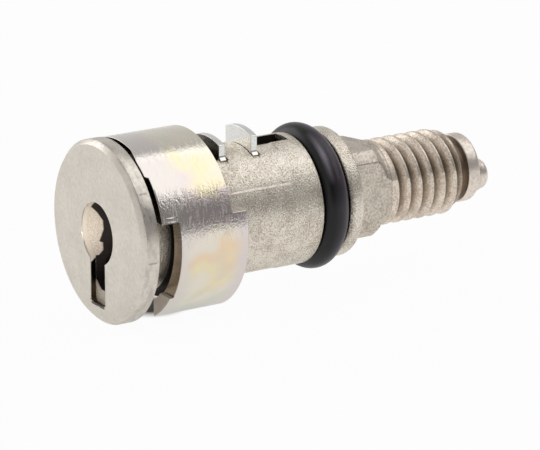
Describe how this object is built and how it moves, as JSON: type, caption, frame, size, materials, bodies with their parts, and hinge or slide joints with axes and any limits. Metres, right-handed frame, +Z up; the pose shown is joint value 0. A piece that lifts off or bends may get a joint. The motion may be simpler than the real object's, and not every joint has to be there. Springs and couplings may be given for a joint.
{
  "type": "lock cylinder",
  "caption": "Key-operated wafer lock cylinder with a stepped clip sleeve, a seal ring, a square drive and a threaded end with two flats.",
  "frame": {"origin": "centre of the keyhole in the front face", "axes": "+Y along the turning axis from the key side to the threaded end, +Z up towards the side where the wafers stand out, -Z along the key slot below the round hole"},
  "size_m": [0.0162, 0.0403, 0.0162],
  "materials": {
    "cap_metal": "satin",
    "cast_metal": "satin",
    "seal_rubber": "satin",
    "plated_metal": "glossy",
    "wafer_metal": "glossy",
    "spring_wire": "glossy"
  },
  "bodies": {
    "sleeve": {"sleeve": "plated_metal"},
    "plug": {"plug": "cast_metal", "face_cap": "cap_metal", "seal_ring": "seal_rubber", "spring_1": "spring_wire", "spring_2": "spring_wire", "spring_3": "spring_wire", "spring_4": "spring_wire"},
    "wafer_1": {"wafer_1": "wafer_metal"},
    "wafer_2": {"wafer_2": "wafer_metal"},
    "wafer_3": {"wafer_3": "wafer_metal"},
    "wafer_4": {"wafer_4": "wafer_metal"}
  },
  "joints": [
    {"name": "plug_turn", "type": "hinge", "parent": "sleeve", "child": "plug", "pos_m": [0, 0, 0], "axis": [0, 1, 0], "range_deg": [0, 90]},
    {"name": "wafer_1_slide", "type": "slide", "parent": "plug", "child": "wafer_1", "axis": [0, 0, 1], "range_m": [-0.0005, 0], "stiffness_N_per_m": 150, "springref_m": 0.001, "deforming": ["spring_1"]},
    {"name": "wafer_2_slide", "type": "slide", "parent": "plug", "child": "wafer_2", "axis": [0, 0, 1], "range_m": [-0.0005, 0], "stiffness_N_per_m": 150, "springref_m": 0.001, "deforming": ["spring_2"]},
    {"name": "wafer_3_slide", "type": "slide", "parent": "plug", "child": "wafer_3", "axis": [0, 0, 1], "range_m": [-0.00115, 0], "stiffness_N_per_m": 150, "springref_m": 0.001, "deforming": ["spring_3"]},
    {"name": "wafer_4_slide", "type": "slide", "parent": "plug", "child": "wafer_4", "axis": [0, 0, 1], "range_m": [-0.0015, 0], "stiffness_N_per_m": 150, "springref_m": 0.001, "deforming": ["spring_4"]}
  ]
}
